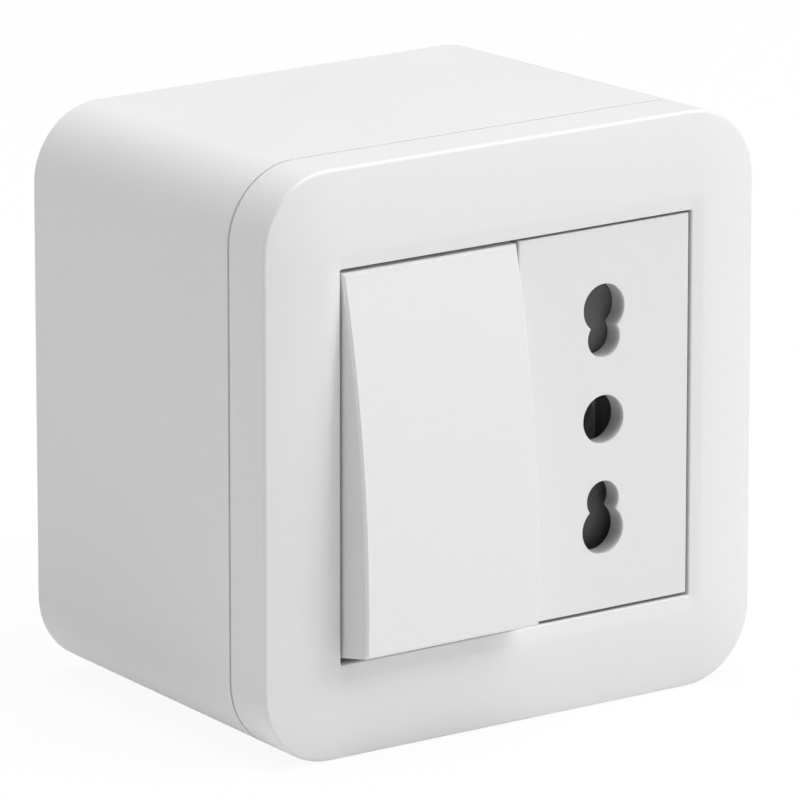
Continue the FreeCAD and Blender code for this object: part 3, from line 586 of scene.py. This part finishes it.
def rounded_copy(node, name, width, material):
    """Copy of a CAD node with its triangles merged into faces and its sharp edges rounded."""
    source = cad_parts[node]
    mesh = source.data.copy()
    mesh.name = name
    mesh.materials.clear()
    work = bmesh.new()
    work.from_mesh(mesh)
    bmesh.ops.remove_doubles(work, verts=work.verts, dist=MERGE_DISTANCE)
    bmesh.ops.dissolve_limit(work, angle_limit=math.radians(FLAT_ANGLE), verts=work.verts, edges=work.edges)
    sharp_turn = math.radians(SHARP_ANGLE)
    sharp = [edge for edge in work.edges if edge.is_manifold and edge.calc_face_angle(0.0) > sharp_turn]
    bmesh.ops.bevel(work, geom=sharp, offset=width, offset_type="OFFSET", segments=ROUNDING_STEPS,
                    profile=0.5, affect="EDGES", clamp_overlap=True)
    bmesh.ops.triangulate(work, faces=[face for face in work.faces if len(face.verts) > 4])
    work.to_mesh(mesh)
    work.free()
    if "custom_normal" in mesh.attributes:
        mesh.attributes.remove(mesh.attributes["custom_normal"])
    copy = add_object(name, mesh, material)
    soften(copy, SMOOTH_ANGLE)
    return copy


def dress(node, material):
    """Gives a CAD node its material."""
    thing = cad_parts[node]
    thing.data.materials.clear()
    thing.data.materials.append(material)


def ring_points(half_x, half_z, radius, depth):
    """Points of a rectangle with round corners at a depth behind the front plane."""
    sizes = bpy.context.scene.combo_cover
    y = depth - sizes.case_depth
    points = []
    for quarter, (side_x, side_z) in enumerate(((1, 1), (-1, 1), (-1, -1), (1, -1))):
        for step in range(CORNER_STEPS + 1):
            angle = math.radians(90 * (quarter + step / CORNER_STEPS))
            points.append(Vector((side_x * (half_x - radius) + radius * math.cos(angle), y,
                                  side_z * (half_z - radius) + radius * math.sin(angle))))
    return points


def skin(rings):
    """Mesh of quads between rings with equal numbers of points, from the last ring back to the first."""
    work = bmesh.new()
    rows = [[work.verts.new(point) for point in ring] for ring in rings]
    count = len(rings[0])
    for row, following in zip(rows, rows[1:] + rows[:1]):
        for index in range(count):
            after = (index + 1) % count
            work.faces.new((row[index], row[after], following[after], following[index]))
    bmesh.ops.recalc_face_normals(work, faces=work.faces)
    return work


def crown_depth(along):
    """Depth of the front surface a share of the way from its crest to its outer edge."""
    sizes = bpy.context.scene.combo_cover
    even = sizes.crown_start
    return sizes.crown_drop * (even * along + (1 - even) * along ** 2) - sizes.crest_rise


def cover_rings():
    """Closed row of rings round the cover's section, from the window over the crown to the rim and back."""
    sizes = bpy.context.scene.combo_cover
    soft = sizes.lip_radius
    crest = sizes.crest_share
    half_x = sizes.window_width / 2
    half_z = sizes.window_height / 2

    def front(share, depth):
        radius = sizes.window_corner + share * (sizes.corner_radius - sizes.window_corner)
        return ring_points(half_x + share * sizes.border_side, half_z + share * sizes.border_end,
                           radius, depth)

    def case(inset, depth):
        back = depth / sizes.case_depth
        return ring_points(half_x + sizes.border_side - sizes.draft_side * back - inset,
                           half_z + sizes.border_end - sizes.draft_end * back - inset,
                           sizes.corner_radius - inset, depth)

    # Lip of the window
    rings = [ring_points(half_x, half_z, sizes.window_corner, sizes.seat_depth)]
    for step in range(LIP_STEPS + 1):
        angle = math.pi / 2 * step / LIP_STEPS
        share = soft * (1 - math.cos(angle)) / sizes.border_side
        rings.append(front(share, soft * (1 - math.sin(angle)) - share / crest * sizes.crest_rise))

    # Slope up to the crest, in shares of the border
    slope_shares = (0.05, 0.1)
    before_crest = 0.02
    after_crest = 0.012
    for share in (*slope_shares, crest - before_crest):
        rings.append(front(share, -sizes.crest_rise * share / crest))

    # Crown, down to where the edge rounding starts
    rounding_share = 0.8
    last = 1 - sizes.edge_radius * rounding_share / sizes.border_side
    for band in range(CROWN_BANDS + 1):
        share = crest + after_crest + (last - crest - after_crest) * band / CROWN_BANDS
        rings.append(front(share, crown_depth((share - crest) / (1 - crest))))
    tilt = sizes.crown_end_slope
    turn = sizes.edge_radius
    centre = crown_depth((last - crest) / (1 - crest)) + turn * math.cos(tilt)
    for step in range(1, EDGE_STEPS + 1):
        angle = tilt + (math.pi / 2 - tilt) * step / EDGE_STEPS
        rings.append(case(turn * (1 - math.sin(angle)), centre - turn * math.cos(angle)))

    # Rim, tongue, inside and collar
    rim = sizes.rim_depth
    half_turn = 0.3
    rings += [case(0, rim - soft), case(soft * half_turn, rim - soft * half_turn), case(soft, rim)]
    tongue = sizes.wall / 2 + sizes.tongue_clearance
    tip = rim + sizes.tongue_length
    rings += [case(tongue, rim), case(tongue, tip - soft), case(tongue + soft, tip)]
    rings += [case(sizes.wall, tip), case(sizes.wall, sizes.ceiling)]
    for depth in (sizes.ceiling, sizes.seat_depth):
        rings.append(ring_points(half_x + sizes.collar, half_z + sizes.collar,
                                 sizes.window_corner + sizes.collar, depth))
    return rings


def add_hook(work, x, side):
    """Snap hook inside the cover, as a prism."""
    sizes = bpy.context.scene.combo_cover
    hook = bpy.context.scene.combo_hooks
    space = sizes.border_end - sizes.collar - sizes.wall - hook.room - hook.thickness
    inner = sizes.window_height / 2 + sizes.collar + space / 2
    outer = inner + hook.thickness
    catch = sizes.seat_depth + hook.reach
    root = sizes.ceiling - hook.root
    points = [(root, inner), (root, outer), (catch, outer), (catch, outer + hook.barb),
              (catch + hook.nose, inner)]
    ends = []
    for end in (x - hook.width / 2, x + hook.width / 2):
        ends.append([work.verts.new((end, depth - sizes.case_depth, side * z)) for depth, z in points])
    near, far = ends
    built = [work.faces.new(near), work.faces.new(far[::-1])]
    for index in range(len(points)):
        after = (index + 1) % len(points)
        built.append(work.faces.new((near[index], far[index], far[after], near[after])))
    bmesh.ops.recalc_face_normals(work, faces=built)


# Operators


class COMBO_OT_cover(bpy.types.Operator):
    """Builds the crowned cover frame with its rounded edges, collar, tongue and hooks"""

    bl_idname = "combo.cover"
    bl_label = "Cover frame"

    def execute(self, context):
        work = skin(cover_rings())
        place = context.scene.combo_hooks.place
        for x in (-place, place):
            for side in (-1, 1):
                add_hook(work, x, side)
        mesh = bpy.data.meshes.new("cover")
        work.to_mesh(mesh)
        work.free()
        cover = add_object("cover", mesh, white_plastic())
        soften(cover, COVER_SMOOTH_ANGLE)
        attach(cover, "housing")
        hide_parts("cover_frame")
        return {"FINISHED"}


class COMBO_OT_box(bpy.types.Operator):
    """Rounds the edges of the wall box and dresses it in satin white"""

    bl_idname = "combo.box"
    bl_label = "Wall box"

    def execute(self, context):
        box = rounded_copy("surface_box", "wall_box", EDGE_ROUNDING, white_plastic())
        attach(box, "housing")
        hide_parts("surface_box")
        return {"FINISHED"}


class COMBO_OT_rocker(bpy.types.Operator):
    """Rounds the edges of the rocker and dresses it in satin white"""

    bl_idname = "combo.rocker"
    bl_label = "Rocker"

    def execute(self, context):
        rocker = rounded_copy("rocker", "rocker_cap", EDGE_ROUNDING, white_plastic())
        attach(rocker, "rocker")
        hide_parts("rocker")
        return {"FINISHED"}


class COMBO_OT_socket_face(bpy.types.Operator):
    """Rounds the socket face and the mouths of its holes and dresses it in satin white with painted shade
    down the holes
    """

    bl_idname = "combo.socket_face"
    bl_label = "Socket face"

    def execute(self, context):
        face = rounded_copy("socket_face", "socket_cap", MOUTH_ROUNDING, socket_plastic())
        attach(face, "housing")
        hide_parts("socket_face")
        return {"FINISHED"}


class COMBO_OT_mouldings(bpy.types.Operator):
    """Dresses the hidden mouldings: support frame, module backs, plunger and shutter"""

    bl_idname = "combo.mouldings"
    bl_label = "Hidden mouldings"

    def execute(self, context):
        dress("switch_plate", white_plastic())
        for node in ("support_frame", "switch_base", "socket_base"):
            dress(node, grey_plastic())
        dress("shutter", shutter_plastic())
        dress("plunger", slider_plastic())
        return {"FINISHED"}


class COMBO_OT_contacts(bpy.types.Operator):
    """Dresses the strips, clips, blade and silver tips"""

    bl_idname = "combo.contacts"
    bl_label = "Contacts"

    def execute(self, context):
        for node in ("common_contact", "fixed_contact"):
            dress(node, strip_brass())
        for node in ("contact_blade", "line_contact", "neutral_contact", "earth_contact"):
            dress(node, clip_bronze())
        for node in ("fixed_contact_tip", "moving_contact_tip"):
            dress(node, contact_silver())
        return {"FINISHED"}


class COMBO_OT_fasteners(bpy.types.Operator):
    """Dresses screws, clamp plates and springs"""

    bl_idname = "combo.fasteners"
    bl_label = "Screws, clamps and springs"

    def execute(self, context):
        for node in ("support_screws", "switch_clamp_plates", "switch_terminal_screws",
                     "socket_clamp_plates", "socket_terminal_screws"):
            dress(node, zinc_steel())
        for node in ("plunger_spring", "shutter_spring"):
            dress(node, spring_steel())
        return {"FINISHED"}


class COMBO_OT_studio(bpy.types.Operator):
    """Sets the pale floor, the even surround, four large soft lamps and the camera"""

    bl_idname = "combo.studio"
    bl_label = "Studio"

    def execute(self, context):
        add_floor()
        add_surround()
        studio = context.scene.combo_studio
        add_lamp("key", studio.key_power, studio.key_place, studio.key_size)
        add_lamp("top", studio.top_power, studio.top_place, studio.top_size)
        add_lamp("front", studio.front_power, studio.front_place, studio.front_size)
        add_lamp("side", studio.side_power, studio.side_place, studio.side_size)
        add_camera()
        context.scene.view_settings.view_transform = "Standard"
        return {"FINISHED"}


def seen_white(tree, shaded, lift):
    """Mixes a shader with plain white for camera, glossy and transmitted rays."""
    path = tree.nodes.new("ShaderNodeLightPath")
    seen = add_math(tree, "MAXIMUM", path.outputs["Is Camera Ray"], add_math(
        tree, "MAXIMUM", path.outputs["Is Glossy Ray"], path.outputs["Is Transmission Ray"]))
    share = add_math(tree, "MULTIPLY", seen, lift)
    glow = tree.nodes.new("ShaderNodeEmission")
    glow.inputs["Color"].default_value = (1, 1, 1, 1)
    glow.inputs["Strength"].default_value = 1.0
    mix = tree.nodes.new("ShaderNodeMixShader")
    tree.links.new(share, mix.inputs[0])
    tree.links.new(shaded, mix.inputs[1])
    tree.links.new(glow.outputs[0], mix.inputs[2])
    return mix.outputs[0]


def add_floor():
    """Large pale floor just under the part, which keeps a faint shadow."""
    studio = bpy.context.scene.combo_studio
    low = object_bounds()[0][2] - studio.floor_gap
    mesh = bpy.data.meshes.new("floor")
    corners = ((-1, -1), (1, -1), (1, 1), (-1, 1))
    mesh.from_pydata([(x * FLOOR_REACH, y * FLOOR_REACH, low) for x, y in corners], [], [(0, 1, 2, 3)])
    tone = (studio.floor_tone,) * 3
    material, tree, shader = new_material("pale_floor", tone)
    shader.inputs["Base Color"].default_value = (*tone, 1)
    shader.inputs["Roughness"].default_value = 0.9
    shader.inputs["Specular IOR Level"].default_value = 0.0
    output = tree.nodes["Material Output"]
    tree.links.new(seen_white(tree, shader.outputs[0], studio.floor_lift), output.inputs["Surface"])
    add_object("floor", mesh, material)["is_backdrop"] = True


def add_backdrop(tree, strength):
    """White background of a given strength."""
    backdrop = tree.nodes.new("ShaderNodeBackground")
    backdrop.inputs["Color"].default_value = (1, 1, 1, 1)
    backdrop.inputs["Strength"].default_value = strength
    return backdrop.outputs[0]


def add_surround():
    """World that is plain white to the eye and gives even light."""
    studio = bpy.context.scene.combo_studio
    world = bpy.data.worlds.new("surround")
    world.use_nodes = True
    bpy.context.scene.world = world
    tree = world.node_tree
    tree.nodes.clear()
    path = tree.nodes.new("ShaderNodeLightPath")
    mix = tree.nodes.new("ShaderNodeMixShader")
    output = tree.nodes.new("ShaderNodeOutputWorld")
    tree.links.new(path.outputs["Is Camera Ray"], mix.inputs[0])
    tree.links.new(add_backdrop(tree, studio.surround), mix.inputs[1])
    tree.links.new(add_backdrop(tree, 1.0), mix.inputs[2])
    tree.links.new(mix.outputs[0], output.inputs["Surface"])


def aim(thing, target):
    """Turns an object so that its -Z looks at a point, with +Y up."""
    way = Vector(target) - thing.location
    thing.rotation_euler = way.to_track_quat("-Z", "Y").to_euler()


def add_lamp(name, power, place, size):
    """Large square lamp that points at the part."""
    light = bpy.data.lights.new(name, "AREA")
    light.energy = power
    light.size = size
    lamp = bpy.data.objects.new(name, light)
    lamp.location = place
    bpy.context.scene.collection.objects.link(lamp)
    aim(lamp, LAMP_TARGET)


def add_camera():
    """Camera at the photograph's angle."""
    studio = bpy.context.scene.combo_studio
    camera = bpy.data.cameras.new("camera")
    camera.sensor_width = SENSOR_WIDTH
    camera.lens = studio.lens
    camera.clip_start = NEAR_CLIP
    camera.clip_end = FAR_CLIP
    holder = bpy.data.objects.new("camera", camera)
    holder.location = studio.camera_place
    bpy.context.scene.collection.objects.link(holder)
    aim(holder, studio.camera_target)
    bpy.context.scene.camera = holder


class COMBO_PT_panel(bpy.types.Panel):
    """Lists the steps that build the part's looks"""

    bl_label = "Switch and socket"
    bl_idname = "COMBO_PT_panel"
    bl_space_type = "VIEW_3D"
    bl_region_type = "UI"
    bl_category = "Switch and socket"

    def draw(self, context):
        column = self.layout.column()
        for step in STEPS:
            column.operator(step.bl_idname)


STEPS = (COMBO_OT_cover, COMBO_OT_box, COMBO_OT_rocker, COMBO_OT_socket_face, COMBO_OT_mouldings,
         COMBO_OT_contacts, COMBO_OT_fasteners, COMBO_OT_studio)
CLASSES = (CoverSizes, HookSizes, Finishes, StudioValues) + STEPS + (COMBO_PT_panel,)


def register():
    """Registers the classes and their settings."""
    for item in CLASSES:
        bpy.utils.register_class(item)
    bpy.types.Scene.combo_cover = bpy.props.PointerProperty(type=CoverSizes)
    bpy.types.Scene.combo_hooks = bpy.props.PointerProperty(type=HookSizes)
    bpy.types.Scene.combo_finishes = bpy.props.PointerProperty(type=Finishes)
    bpy.types.Scene.combo_studio = bpy.props.PointerProperty(type=StudioValues)


def unregister():
    """Removes the settings and the classes."""
    del bpy.types.Scene.combo_studio
    del bpy.types.Scene.combo_finishes
    del bpy.types.Scene.combo_hooks
    del bpy.types.Scene.combo_cover
    for item in reversed(CLASSES):
        bpy.utils.unregister_class(item)


def main():
    """Registers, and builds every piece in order."""
    register()
    bpy.ops.combo.cover()
    bpy.ops.combo.box()
    bpy.ops.combo.rocker()
    bpy.ops.combo.socket_face()
    bpy.ops.combo.mouldings()
    bpy.ops.combo.contacts()
    bpy.ops.combo.fasteners()
    bpy.ops.combo.studio()


if __name__ == "__main__":
    main()
